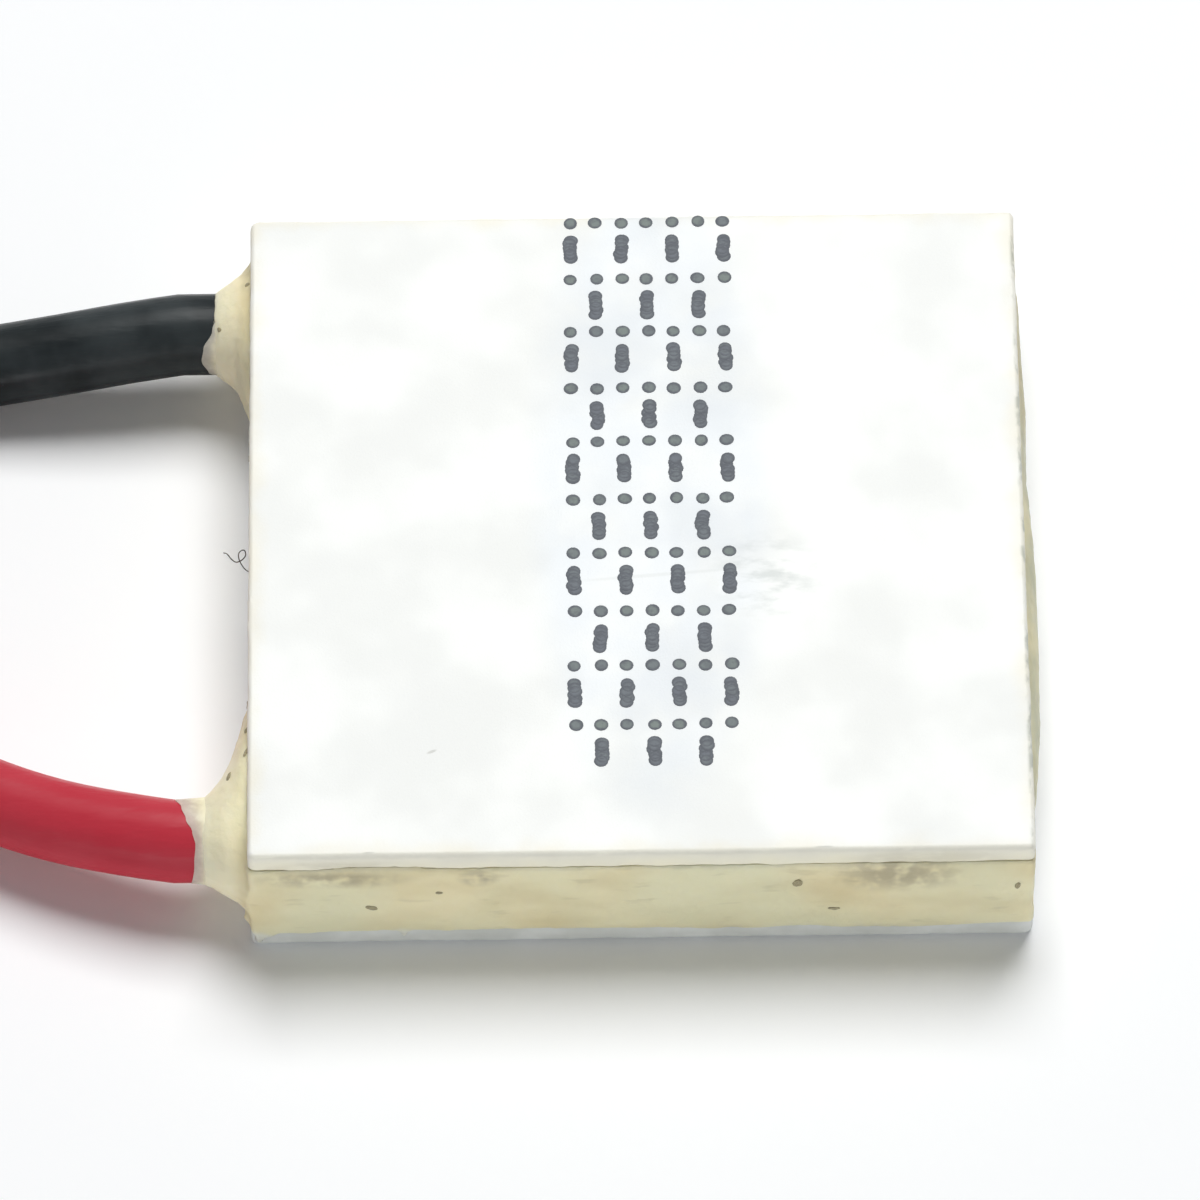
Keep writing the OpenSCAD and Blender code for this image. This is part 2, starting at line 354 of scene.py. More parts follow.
class Finish:
    """A material being built: its tree, and its places in millimetres."""

    def __init__(self, name):
        self.material = bpy.data.materials.new(name)
        self.material.use_nodes = True
        self.tree = self.material.node_tree
        self.tree.nodes.clear()
        places = self.add("ShaderNodeTexCoord").outputs["Object"]
        self.at = self.add(
            "ShaderNodeMapping", {"Vector": places, "Scale": (1 / MM,) * 3}
        ).outputs[0]

    def add(self, kind, sockets=None, **settings):
        """Adds a node to this material."""
        return add_node(self.tree, kind, sockets, **settings)

    def grain(self, size, low, high, detail=2.0, stretch=None):
        """Noise with cells of a size in mm, as a mask from 0 at low to 1 at high."""
        at = self.at
        if stretch:
            at = self.add(
                "ShaderNodeMapping", {"Vector": at, "Scale": stretch}
            ).outputs[0]
        noise = self.add(
            "ShaderNodeTexNoise", {"Vector": at, "Scale": 1 / size, "Detail": detail}
        )
        return self.ramp(noise.outputs["Fac"], low, high)

    def ramp(self, value, low, high, start=0.0, end=1.0):
        """A value spread smoothly between two ends, and held past them."""
        return self.add(
            "ShaderNodeMapRange",
            {"Value": value, "From Min": low, "From Max": high,
             "To Min": start, "To Max": end},
            interpolation_type="SMOOTHSTEP",
        ).outputs[0]

    def maths(self, operation, a, b=0.0):
        """One sum with a node."""
        return self.add("ShaderNodeMath", {0: a, 1: b}, operation=operation).outputs[0]

    def axes(self):
        """X, Y and Z in millimetres."""
        return self.add("ShaderNodeSeparateXYZ", {0: self.at}).outputs[:]

    def attribute(self, name):
        """A measure that the mesh carries for this finish."""
        return self.add("ShaderNodeAttribute", attribute_name=name).outputs["Fac"]

    def spot(self, centre, radii, soft, turn=0.0):
        """A mask of 1 inside an ellipsoid, fading out past its edge."""
        place = self.add(
            "ShaderNodeMapping",
            {"Vector": self.at, "Location": centre, "Rotation": (0, 0, turn),
             "Scale": radii},
            vector_type="TEXTURE",
        ).outputs[0]
        far = self.add("ShaderNodeVectorMath", {0: place}, operation="LENGTH")
        return self.ramp(far.outputs["Value"], 1 + soft, max(1 - soft, 0))

    def mix(self, mask, a, b):
        """One colour where the mask is 0, another where it is 1."""
        return self.add(
            "ShaderNodeMix", {0: mask, 6: a, 7: b}, data_type="RGBA"
        ).outputs[2]

    def both(self, *masks):
        """The product of some masks."""
        return functools.reduce(lambda a, b: self.maths("MULTIPLY", a, b), masks)

    def either(self, *masks):
        """The largest of some masks."""
        return functools.reduce(lambda a, b: self.maths("MAXIMUM", a, b), masks)

    def stain(self, base, mask, share, hex_colour):
        """A colour laid over the base where a mask is, as a share of the whole."""
        return self.mix(self.both(mask, share), base, rgba(linear(hex_colour)))

    def bump(self, height, depth):
        """A normal from a height mask that is a depth in millimetres high."""
        sockets = {"Height": height, "Distance": depth * MM, "Strength": 1.0}
        return self.add("ShaderNodeBump", sockets).outputs[0]

    def shade(self, base, roughness, **sockets):
        """Ends the tree in one Principled shader."""
        values = {"Base Color": base, "Roughness": roughness}
        values.update({name.replace("_", " "): v for name, v in sockets.items()})
        shader = self.add("ShaderNodeBsdfPrincipled", values)
        self.add("ShaderNodeOutputMaterial", {"Surface": shader.outputs[0]})
        return self.material


def alumina(settings, name, rim_stain_and_shade, printed):
    """Tape-cast alumina, fired: matt white, very fine grain, faint clouding."""
    f = Finish(name)
    cloud = f.grain(2.6, 0.35, 0.7, 3)
    base = f.mix(cloud, rgba(settings.ceramic), rgba(settings.ceramic, 0.985))
    x, y, z = f.axes()
    edge = f.either(f.maths("ABSOLUTE", x), f.maths("ABSOLUTE", y))
    wander = f.grain(0.9, 0.2, 0.8, 3)
    rim = f.ramp(
        f.maths("ADD", edge, f.both(wander, 0.35)),
        COLD_HIGH.x - 0.25, COLD_HIGH.x + 0.35,
    )
    # Rim colour: on the cold plate a real trace of sealant; on the hot plate a grey
    # that is partly from handling and partly painted shade near the floor
    base = f.mix(rim, base, rgba(rim_stain_and_shade))
    if printed:
        top = COLD_HIGH.z
        smeared = f.both(
            f.ramp(y, FRONT_Y + 0.12, FRONT_Y + 0.03),
            f.ramp(
                f.maths("ADD", z, f.both(wander, 0.4)), top + 0.45, COLD_LOW.z + 0.15
            ),
        )
        base = f.mix(smeared, base, rgba(linear("#f6f0d8")))
        dirty = f.both(
            f.either(
                f.spot((-5.7, FRONT_Y, 2.62), (1.35, 0.3, 0.2), 0.5),
                f.spot((5.4, FRONT_Y, 2.7), (1.3, 0.3, 0.25), 0.5),
            ),
            f.grain(0.4, 0.3, 0.62, 3, stretch=(0.5, 1, 1.2)),
        )
        base = f.stain(base, dirty, 0.28, "#aba288")
        flecks = f.both(
            f.ramp(x, COLD_HIGH.x - 0.14, COLD_HIGH.x - 0.04),
            f.ramp(z, top - 0.3, top - 0.08),
            f.grain(0.22, 0.46, 0.64, 3, stretch=(1, 0.5, 1)),
        )
        base = f.stain(base, flecks, 0.6, "#9da294")
        halo = f.both(
            f.spot((0.3, 1.0, top), (2.2, 7.3, 1), 0.2),
            f.grain(1.1, 0.1, 0.7, 3),
        )
        base = f.stain(base, halo, 0.75, "#e1e6ec")
        rubbed = f.both(
            f.spot((2.5, -1.15, top), (0.85, 0.8, 1), 0.6),
            f.grain(0.35, 0.42, 0.72, 4, stretch=(0.6, 1.4, 1)),
        )
        base = f.stain(base, rubbed, 0.6, "#b9bfbd")
        scrape = f.spot((0.35, -1.1, top), (1.3, 0.04, 1), 0.6, 0.08)
        base = f.stain(base, scrape, 0.35, "#cfd2d0")
        speck = f.spot((-3.97, -5.13, top), (0.09, 0.03, 1), 0.5, 0.4)
        base = f.stain(base, speck, 0.5, "#a9a8a0")
    fine = f.grain(0.05, 0.3, 0.7, 2)  # real grain is 5 um, drawn coarser to show
    return f.shade(
        base, f.ramp(cloud, 0, 1, 0.5, 0.62), Normal=f.bump(fine, 0.0015),
        IOR=1.76, Specular_IOR_Level=0.35,
    )


def cured_sealant(settings):
    """Neutral-cure silicone wiped on by hand: waxy, cream, with denser patches."""
    f = Finish("silicone_wiped")
    patches = f.grain(1.3, 0.32, 0.74, 2, stretch=(0.6, 0.7, 1.3))
    base = f.mix(patches, rgba(settings.sealant), rgba(settings.shaded))
    tint = f.grain(2.6, 0.36, 0.68, 1)
    base = f.stain(base, tint, 0.5, "#e3e4c4")
    streak = f.grain(0.3, 0.6, 0.74, 2, stretch=(0.35, 0.5, 1.2))
    base = f.stain(base, streak, 0.18, "#a39874")
    smudge = f.both(
        f.either(
            f.spot((4.9, FRONT_Y, 2.25), (1.0, 0.6, 0.45), 0.7),
            f.spot((-5.9, FRONT_Y, 2.3), (1.1, 0.6, 0.22), 0.7),
            f.spot((-3.1, FRONT_Y, 2.3), (0.3, 0.6, 0.2), 0.7),
        ),
        f.grain(0.4, 0.3, 0.6, 2),
    )
    base = f.stain(base, smudge, 0.7, "#a0957c")
    x = f.axes()[0]
    # Painted light: the skirts past the plates' left edge are made paler, standing in
    # for light from the left and above
    drawn = f.ramp(x, COLD_LOW.x - 0.05, COLD_LOW.x - 0.4)
    base = f.stain(base, drawn, 0.6, "#f8f1d2")
    drips = f.either(
        f.spot((-4.54, FRONT_Y, 0.22), (0.24, 0.4, 0.3), 0.4),
        f.spot((-7.35, FRONT_Y, 0.2), (0.3, 0.4, 0.28), 0.4),
    )
    base = f.stain(base, drips, 0.75, "#f0efe2")
    # Painted shade: the seal's right side, under the top plate's overhang, is greyed to
    # stand in for its shade
    painted_shade_right = f.both(
        f.ramp(x, COLD_HIGH.x - 0.03, COLD_HIGH.x + 0.05),
        f.grain(0.7, 0.15, 0.85, 4, stretch=(1, 0.5, 1)),
    )
    base = f.stain(base, painted_shade_right, 0.7, "#9aa08e")
    skin = f.grain(0.22, 0.2, 0.8, 3)
    return f.shade(
        base, f.ramp(patches, 0, 1, 0.42, 0.55), Normal=f.bump(skin, 0.01),
        Subsurface_Weight=0.25, Subsurface_Radius=(1, 0.8, 0.45),
        Subsurface_Scale=0.25 * MM, Specular_IOR_Level=0.35,
    )


def drawn_film(settings):
    """The same silicone drawn out thin: milky, with the lead showing through."""
    f = Finish("silicone_film")
    milky = f.grain(0.2, 0.25, 0.75, 3)
    base = f.mix(milky, rgba(settings.film), rgba(settings.film, 0.88))
    drawn = f.attribute("drawn")
    base = f.mix(f.ramp(drawn, 0.4, 0.95), rgba(linear("#f5eecd")), base)
    uneven = f.maths("ADD", drawn, f.both(milky, 0.25))
    clear = f.ramp(uneven, 0.3, 1.2, 0.97, 0.58)
    return f.shade(base, 0.4, Alpha=clear, Specular_IOR_Level=0.4)


def grit(name, shade):
    """Dust grains and lint, and grains laid as painted shadow: dull, dark and uneven.
    """
    f = Finish(name)
    uneven = f.grain(0.04, 0.3, 0.7, 2)
    base = f.mix(uneven, rgba(linear(shade)), rgba(linear(shade), 0.7))
    return f.shade(base, 0.8, Specular_IOR_Level=0.2)


def pvc(name, shade, dust):
    """Extruded PVC insulation: smooth and satin, with faint dust and drag marks."""
    f = Finish(name)
    cloud = f.grain(1.3, 0.35, 0.7, 3)
    base = f.mix(f.both(cloud, 0.35), rgba(shade), rgba(dust))
    specks = f.grain(0.07, 0.74, 0.8, 2)
    base = f.mix(f.both(specks, 0.3), base, rgba(dust))
    marks = f.grain(0.25, 0.3, 0.7, 3, stretch=(0.25, 1, 1))
    return f.shade(
        base, f.ramp(marks, 0, 1, 0.32, 0.42), Normal=f.bump(marks, 0.006),
        Specular_IOR_Level=0.12,
    )


def marking_ink(settings):
    """Ink-jet marking ink, dried: matt slate, paler where it lies thin."""
    f = Finish("ink_dried")
    rim = f.attribute("rim")
    thin = f.maths("ADD", rim, f.both(f.grain(0.12, 0.35, 0.7, 3), 0.3))
    pale = f.attribute("pale")
    base = f.mix(pale, rgba(settings.ink), rgba(linear("#727c78")))
    base = f.mix(f.ramp(thin, 0.45, 1.1), base, rgba(settings.ink, 0.6))
    return f.shade(base, 0.62, Normal=f.bump(f.grain(0.05, 0.3, 0.7), 0.003))


def metal(name, shade, worn, roughness, size):
    """Bare or tinned metal in small flat parts, a little uneven in tone."""
    f = Finish(name)
    mottle = f.grain(size, 0.35, 0.7, 3)
    base = f.mix(mottle, rgba(linear(shade)), rgba(linear(worn)))
    return f.shade(
        base, f.ramp(mottle, 0, 1, roughness, roughness + 0.15), Metallic=1.0,
        Normal=f.bump(mottle, 0.004),
    )


def telluride(name, shade, cleaved):
    """Bismuth telluride, sawn: dull grey semimetal with bright cleaved grains."""
    f = Finish(name)
    grains = f.add("ShaderNodeTexVoronoi", {"Vector": f.at, "Scale": 1 / 0.2})
    mask = f.ramp(grains.outputs["Distance"], 0.1, 0.7)
    base = f.mix(mask, rgba(linear(cleaved)), rgba(linear(shade)))
    return f.shade(
        base, f.ramp(mask, 0, 1, 0.32, 0.5), Metallic=1.0,
        Normal=f.bump(mask, 0.008),
    )


def repaint(material, *nodes):
    """Gives carried-over CAD nodes a material."""
    for node in nodes:
        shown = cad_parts[node]
        shown.data.materials.clear()
        shown.data.materials.append(material)


# --- Stage ---

# Camera: lens and sensor in millimetres, distance from its aim, and its angles
CAMERA_LENS, CAMERA_SENSOR = 378.04, 36
CAMERA_FAR = 246.173
CAMERA_AIM = Vector((-0.723, 0.432, 0))
CAMERA_TILT = math.radians(55.456)
CAMERA_TURN = math.radians(0.077)
CAMERA_ROLL = math.radians(-0.838)

# Floor: side in metres, gap under the part in millimetres, and the glow that the
# paper has for the camera and mirrors but not as light
FLOOR_SIZE, FLOOR_GAP, FLOOR_GLOW = 6, 0.003, 0.06
BACKDROP = (0.9, 0.97, 1)
# Lamps: place, width and height in metres, and colour
LAMPS = {
    "key": ((0.04, 0.21, 0.42), 0.27, 0.27, (1, 0.998, 0.985)),
    "fill": ((-0.08, -0.5, 0.05), 0.45, 0.08, (0.97, 0.99, 1)),
}


def seen(tree):
    """1 for rays that look, mirror or pass through, 0 for those that light."""
    path = add_node(tree, "ShaderNodeLightPath").outputs
    rays = path["Is Camera Ray"]
    for other in ("Is Glossy Ray", "Is Transmission Ray"):
        rays = add_node(
            tree, "ShaderNodeMath", {0: rays, 1: path[other]}, operation="MAXIMUM"
        ).outputs[0]
    return rays


class COOLER_OT_stage(bpy.types.Operator):
    """Adds the camera, the floor and the soft studio light"""

    bl_idname = "cooler.stage"
    bl_label = "Stage"

    def execute(self, context):
        settings = context.scene.cooler_stage
        self.add_camera(context)
        self.add_floor(settings)
        self.add_light(context, settings)
        context.scene.view_settings.view_transform = "Standard"
        return {"FINISHED"}

    def add_camera(self, context):
        turn = Matrix.Rotation(CAMERA_TURN, 3, "Z")
        back = turn @ Vector((0, -math.cos(CAMERA_TILT), math.sin(CAMERA_TILT)))
        level = turn @ Vector((1, 0, 0))
        upward = back.cross(level)
        right = math.cos(CAMERA_ROLL) * level + math.sin(CAMERA_ROLL) * upward
        rotation = Matrix((right, back.cross(right), back)).transposed()
        deselect()
        bpy.ops.object.camera_add(
            location=(turn @ CAMERA_AIM + back * CAMERA_FAR) * MM,
            rotation=rotation.to_euler(),
        )
        camera = added("camera")
        camera.data.lens = CAMERA_LENS
        camera.data.sensor_width = CAMERA_SENSOR
        camera.data.clip_start = 0.01
        context.scene.camera = camera

    def add_floor(self, settings):
        deselect()
        bpy.ops.mesh.primitive_plane_add(
            size=FLOOR_SIZE, location=(0, 0, -FLOOR_GAP * MM)
        )
        floor = added("floor")
        material = bpy.data.materials.new("paper")
        material.use_nodes = True
        tree = material.node_tree
        tree.nodes.clear()
        diffuse = add_node(
            tree, "ShaderNodeBsdfDiffuse", {"Color": rgba(settings.floor)}
        )
        shown = add_node(
            tree, "ShaderNodeMath", {0: seen(tree), 1: FLOOR_GLOW},
            operation="MULTIPLY",
        )
        glow = add_node(tree, "ShaderNodeEmission", {"Strength": shown.outputs[0]})
        lit = add_node(
            tree, "ShaderNodeAddShader", {0: diffuse.outputs[0], 1: glow.outputs[0]}
        )
        add_node(tree, "ShaderNodeOutputMaterial", {"Surface": lit.outputs[0]})
        floor.data.materials.append(material)

    def add_light(self, context, settings):
        world = bpy.data.worlds.new("studio")
        world.use_nodes = True
        tree = world.node_tree
        tree.nodes.clear()
        strength = add_node(
            tree, "ShaderNodeMapRange",
            {"Value": seen(tree), "To Min": settings.sky, "To Max": 1.0},
        )
        sky = add_node(
            tree, "ShaderNodeBackground",
            {"Color": rgba(BACKDROP), "Strength": strength.outputs[0]},
        )
        add_node(tree, "ShaderNodeOutputWorld", {"Surface": sky.outputs[0]})
        context.scene.world = world
        for name, (place, wide, high, shade) in LAMPS.items():
            deselect()
            bpy.ops.object.light_add(
                type="AREA", location=place,
                rotation=Vector(place).to_track_quat("Z", "Y").to_euler(),
            )
            lamp = added(name)
            lamp.data.shape = "RECTANGLE"
            lamp.data.size, lamp.data.size_y = wide, high
            lamp.data.energy = getattr(settings, name)
            lamp.data.color = shade


# --- Leads ---


def smooth_route(points, step):
    """A smooth line through points, with a point about every step."""
    line = []
    for i in range(len(points) - 1):
        a, b = points[max(i - 1, 0)], points[i]
        c, d = points[i + 1], points[min(i + 2, len(points) - 1)]
        count = max(1, round((c - b).length / step))
        for k in range(count):
            t = k / count
            line.append(0.5 * (
                2 * b + (c - a) * t + (2 * a - 5 * b + 4 * c - d) * t * t
                + (3 * b - a - 3 * c + d) * t ** 3
            ))
    return line + [points[-1]]


def coil_line(z, step):
    """The coiled stretch: turns that tighten, then a curl towards the middle."""
    line = []
    count = round(TURNS * 2 * math.pi * TURN_R / step)
    for i in range(count + 1):
        turn = TURNS * i / count
        a = math.radians(90 + 360 * turn)
        r = TURN_R - TURN_PITCH * turn
        line.append(Vector((
            COIL_MIDDLE.x + r * math.cos(a), COIL_MIDDLE.y + r * math.sin(a), z
        )))
    end = math.radians(90 + 360 * TURNS)
    pivot = line[-1] - CURL_R * Vector((math.cos(end), math.sin(end), 0))
    for i in range(1, CURL_STEPS + 1):
        a = end + math.radians(CURL_ANGLE) * i / CURL_STEPS
        line.append(pivot + CURL_R * Vector((math.cos(a), math.sin(a), 0)))
    heading = end + math.radians(90 + CURL_ANGLE)
    line.append(line[-1] + TAIL * Vector((math.cos(heading), math.sin(heading), 0)))
    return line, heading


class COOLER_OT_leads(bpy.types.Operator):
    """Lays the black and the red lead, from the seal to the end of the coil"""

    bl_idname = "cooler.leads"
    bl_label = "Leads"

    def execute(self, context):
        settings = context.scene.cooler_leads
        for name, route, z, shade, dust in (
            ("black", BLACK_ROUTE, LEAD_D / 2, settings.black, "#4a5052"),
            ("red", RED_ROUTE, LEAD_D * 1.5, settings.red, "#c04450"),
        ):
            self.lay(name, [Vector(p) for p in route], z, shade, linear(dust))
        return {"FINISHED"}

    def lay(self, name, route, z, shade, dust):
        """Lays one lead along its route and its coil, with the coil at a height."""
        coil, heading = coil_line(z, COIL_STEP)
        run = route[-1]
        line = smooth_route(route, ROUTE_STEP)
        line += [run + (coil[0] - run) * t / JOIN_STEPS for t in range(1, JOIN_STEPS)]
        line += coil
        metres = [place * MM for place in line]
        lead = tube(f"{name}_insulation", metres, LEAD_D / 2 * MM, 8)
        lead.data.materials.append(pvc(f"pvc_{name}", shade, dust))
        end = self.bare_end(name, line[-1], heading)
        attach(lead, BODY)
        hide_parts(f"lead_{name}", f"coil_{name}")

    def bare_end(self, name, start, heading):
        """Tinned strands, one straight and the rest laid round it."""
        count = bpy.context.scene.cooler_leads.strands
        strand_r = STRAND_D / 6
        strands = []
        for i in range(count + 1):
            away = 0 if i == count else 2 * strand_r
            line = []
            for k in range(STRAND_STEPS + 1):
                a = 2 * math.pi * (i / count + STRAND_TWIST * k / STRAND_STEPS)
                line.append((
                    -SUNK + (BARE + SUNK) * k / STRAND_STEPS,
                    away * math.cos(a), away * math.sin(a),
                ))
            strands.append(tube(f"{name}_strand", line, strand_r, 3))
        pick(*strands)
        bpy.ops.object.convert(target="MESH")
        bpy.ops.object.join()
        end = added(f"{name}_bare_end")
        end.matrix_world = Matrix.Translation(start) @ Matrix.Rotation(heading, 4, "Z")
        settle(end)
        return finish_piece(
            end, metal(f"tinned_copper_{name}", "#c9cbcd", "#a9abad", 0.28, 0.4),
            40, (f"end_{name}",),
        )


# --- Plates ---


# Edge wear: size of its clouds in millimetres, and share of the whole depth
EDGE_WEAR = ((1.7, 1.0), (0.3, 0.8), (0.09, 0.5))
RIM_SHARE, RIM_LEVEL = 0.65, 0.6
CORNER_SEGMENTS, RIM_SEGMENTS = 4, 3
LONG_CUTS, UPRIGHT_CUTS = 150, 5


def wear_edges(obj, settings):
    """Breaks a plate's edges, as scribed and snapped ceramic has them."""
    rim = obj.vertex_groups.new(name="rim")
    low, high = Vector(obj.bound_box[0]), Vector(obj.bound_box[6])
    inside = [
        v.index for v in obj.data.vertices
        if min(v.co.x - low.x, high.x - v.co.x, v.co.y - low.y, high.y - v.co.y)
        < settings.rim * RIM_SHARE
    ]
    rim.add(inside, 1.0, "REPLACE")
    for size, depth in EDGE_WEAR:
        ruffle(
            obj, size, settings.wear * depth, mid_level=RIM_LEVEL, vertex_group="rim"
        )


def ceramic_plate(name, low, high, corners, settings):
    """A thin square plate with broken edges and its own corner radii."""
    size = high - low
    plate = block(name, low, high)
    for (x, y), radius in corners.items():
        edit(plate, "EDGE")
        select_edges(plate, lambda e: (
            rise(e) > size.z / 2
            and middle(e).x * x > 0 and middle(e).y * y > 0
            and abs(middle(e).x) > size.x * 0.45 and abs(middle(e).y) > size.y * 0.45
        ))
        bpy.ops.mesh.bevel(offset=radius, segments=CORNER_SEGMENTS, affect="EDGES")
    edit(plate, "EDGE")
    select_edges(plate, lambda e: rise(e) < 1e-4)
    bpy.ops.mesh.bevel(offset=settings.rim, segments=RIM_SEGMENTS, affect="EDGES")
    select_edges(plate, lambda e: rise(e) < 1e-4 and e.calc_length() > 1)
    bpy.ops.mesh.subdivide(number_cuts=LONG_CUTS)
    select_edges(plate, lambda e: rise(e) > size.z / 2)
    bpy.ops.mesh.subdivide(number_cuts=UPRIGHT_CUTS)
    bpy.ops.object.mode_set(mode="OBJECT")
    wear_edges(plate, settings)
    return plate


class COOLER_OT_plates(bpy.types.Operator):
    """Makes the two alumina plates, with worn corners and edges"""

    bl_idname = "cooler.plates"
    bl_label = "Ceramic plates"

    def execute(self, context):
        settings = context.scene.cooler_plates
        sharp = settings.corner
        for node, low, high, corners, printed in (
            ("cold_plate", COLD_LOW, COLD_HIGH,
             {(-1, 1): 0.18, (1, 1): sharp, (1, -1): sharp, (-1, -1): 0.16}, True),
            ("hot_plate", HOT_LOW, HOT_HIGH,
             {(-1, 1): sharp, (1, 1): sharp, (1, -1): 0.2, (-1, -1): sharp}, False),
        ):
            plate = ceramic_plate(f"{node}_ceramic", low, high, corners, settings)
            # The hot plate's grey rim is partly painted shade, for the shade near the
            # floor
            rim_stain_and_shade = settings.stained if printed else settings.grey
            finish_piece(
                plate, alumina(settings, f"alumina_{node}", rim_stain_and_shade, printed),
                35, (node,),
            )
            modify(plate, "WEIGHTED_NORMAL", keep_sharp=True, weight=80)
        return {"FINISHED"}


# --- Seal ---

# Skirts, ring by ring: X, offsets from the lead's axis in Y and Z, half width
# and half height
BLACK_SKIRT = (
    (-7.0, -0.15, -0.1, 1.85, 1.35), (-7.45, -0.15, -0.08, 1.8, 1.32),
    (-7.56, -0.18, -0.05, 1.68, 1.25), (-7.68, -0.12, -0.03, 1.4, 1.17),
    (-7.8, -0.02, 0, 1.17, 1.08), (-7.98, 0, 0, 0.99, 0.98),
    (-8.12, 0, 0, 0.89, 0.89), (-8.2, 0, 0, 0.83, 0.83),
    (-8.26, 0, 0, 0.78, 0.78),
)
RED_SKIRT = (
    (-7.0, 0.85, -0.1, 2.2, 1.45), (-7.42, 0.8, -0.1, 2.17, 1.43),
    (-7.56, 0.7, -0.08, 2.1, 1.38), (-7.68, 0.5, -0.05, 1.75, 1.3),
    (-7.8, 0.3, -0.02, 1.48, 1.2), (-7.95, 0.15, 0, 1.24, 1.1),
    (-8.1, 0.07, 0, 1.05, 0.99), (-8.22, 0.03, 0, 0.92, 0.91),
    (-8.32, 0, 0, 0.85, 0.85), (-8.4, 0, 0, 0.79, 0.79),
)


def skirt(name, axis, rings):
    """A flared skirt: a disc drawn out ring by ring along its lead."""
    x, dy, dz, wide, high = rings[0]
    deselect()
    bpy.ops.mesh.primitive_circle_add(
        vertices=40, radius=1, fill_type="NGON",
        location=(x, axis.y + dy, axis.z + dz), rotation=(0, -math.pi / 2, 0),
    )
    made = added(name)
    made.scale = (high, wide, 1)
    settle(made)
    edit(made)
    bpy.ops.mesh.select_all(action="SELECT")
    for last, ring in zip(rings, rings[1:]):
        step = [ring[i] - last[i] for i in range(3)]
        extrude(
            step, (1, ring[3] / last[3], ring[4] / last[4]),
            (ring[0], axis.y + ring[1], axis.z + ring[2]),
        )
    face_outward()
    return made


def blob(name, place, radii):
    """A rounded lump of sealant."""
    deselect()
    bpy.ops.mesh.primitive_uv_sphere_add(segments=32, ring_count=20, radius=1)
    made = added(name)
    made.scale = radii
    made.location = place
    return settle(made)


def lead_rod(name, axis):
    """A straight rod where a lead passes through the seal."""
    deselect()
    bpy.ops.mesh.primitive_cylinder_add(
        vertices=48, radius=LEAD_D / 2, depth=4, location=(-8.4, axis.y, axis.z),
        rotation=(0, math.pi / 2, 0),
    )
    return settle(added(name))


# Bead: overlap with the plates' heights, lap over the front, wall round the
# cavity, and how far it may swell past the rear and the right side
OVERLAP, LAP, WALL = 0.16, 0.04, 0.7
SWELL_REAR, SWELL_SIDE = 0.08, 0.235
SMOOTHINGS = 6
# Waves on the bead: size of the clouds, and share of the whole depth
BEAD_WAVES = ((1.6, 1.0), (0.5, 0.5), (0.16, 0.28))
FAR = 12
# Lumps that swell the bead: place, then half sizes
LUMPS = (
    ((7.3, -1.7, 1.55), (0.45, 5.0, 0.85)),
    ((7.38, 3.4, 1.55), (0.25, 4.1, 1.0)),
    ((-6.4, -7.25, 0.62), (1.25, 0.29, 0.33)),
    ((-7.18, -7.2, 0.5), (0.33, 0.34, 0.46)),
    ((-4.56, -7.3, 0.4), (0.16, 0.225, 0.36)),
    ((-7.33, -7.32, 0.25), (0.15, 0.225, 0.32)),
    ((-5.2, -7.29, 2.32), (2.4, 0.24, 0.56)),
    ((-7.1, -6.4, 1.25), (0.52, 1.1, 1.1)),
    ((1.6, -7.25, 0.6), (2.6, 0.29, 0.4)),
    ((4.75, -7.25, 0.6), (2.65, 0.3, 0.44)),
)


class COOLER_OT_seal(bpy.types.Operator):
    """Makes the hand-wiped bead of sealant and its skirts round the leads"""

    bl_idname = "cooler.seal"
    bl_label = "Seal"

    def execute(self, context):
        settings = context.scene.cooler_seal
        bead = block(
            "seal_bead",
            (COLD_LOW.x, COLD_LOW.y - LAP, HOT_HIGH.z - OVERLAP),
            (COLD_HIGH.x, COLD_HIGH.y, COLD_LOW.z + OVERLAP),
        )
        parts = [
            skirt("skirt_black", BLACK_AXIS, BLACK_SKIRT),
            skirt("skirt_red", RED_AXIS, RED_SKIRT),
        ]
        parts += [blob("lump", place, radii) for place, radii in LUMPS]
        pick(bead, *parts)
        bpy.ops.object.join()
        modify(bead, "REMESH", mode="VOXEL", voxel_size=settings.detail)
        modify(bead, "SMOOTH", iterations=SMOOTHINGS, factor=0.5)
        for size, depth in BEAD_WAVES:
            ruffle(bead, size, settings.ripple * depth)
        rear, side = COLD_HIGH.y + SWELL_REAR, COLD_HIGH.x + SWELL_SIDE
        cutters = [
            block(
                "cavity", (COLD_LOW.x + WALL, COLD_LOW.y + WALL, -1),
                (COLD_HIGH.x - WALL, COLD_HIGH.y - WALL, 5),
            ),
            block("under", (-FAR, -FAR, -2), (FAR, FAR, 0)),
            block("behind", (-FAR, rear, -3), (FAR, FAR, 6)),
            block("beside", (side, -FAR, -3), (FAR, FAR, 6)),
            lead_rod("rod_black", BLACK_AXIS), lead_rod("rod_red", RED_AXIS),
        ]
        for plate in ("cold_plate_ceramic", "hot_plate_ceramic"):
            copy = bpy.data.objects[plate].copy()
            copy.data = copy.data.copy()
            copy.name = f"{plate}_cutter"
            bpy.context.collection.objects.link(copy)
            copy.parent = None
            copy.matrix_world = Matrix.Scale(1 / MM, 4)
            cutters.append(settle(copy))
        for cutter in cutters:
            cut(bead, cutter)
        remove(*cutters)
        finish_piece(bead, cured_sealant(settings), 60, ("seal",))
        return {"FINISHED"}


def angle_round(point, axis):
    """Angle of a point round a lead's axis, in degrees from +Y towards +Z."""
    return math.degrees(math.atan2(point.z - axis.z, point.y - axis.y)) % 360


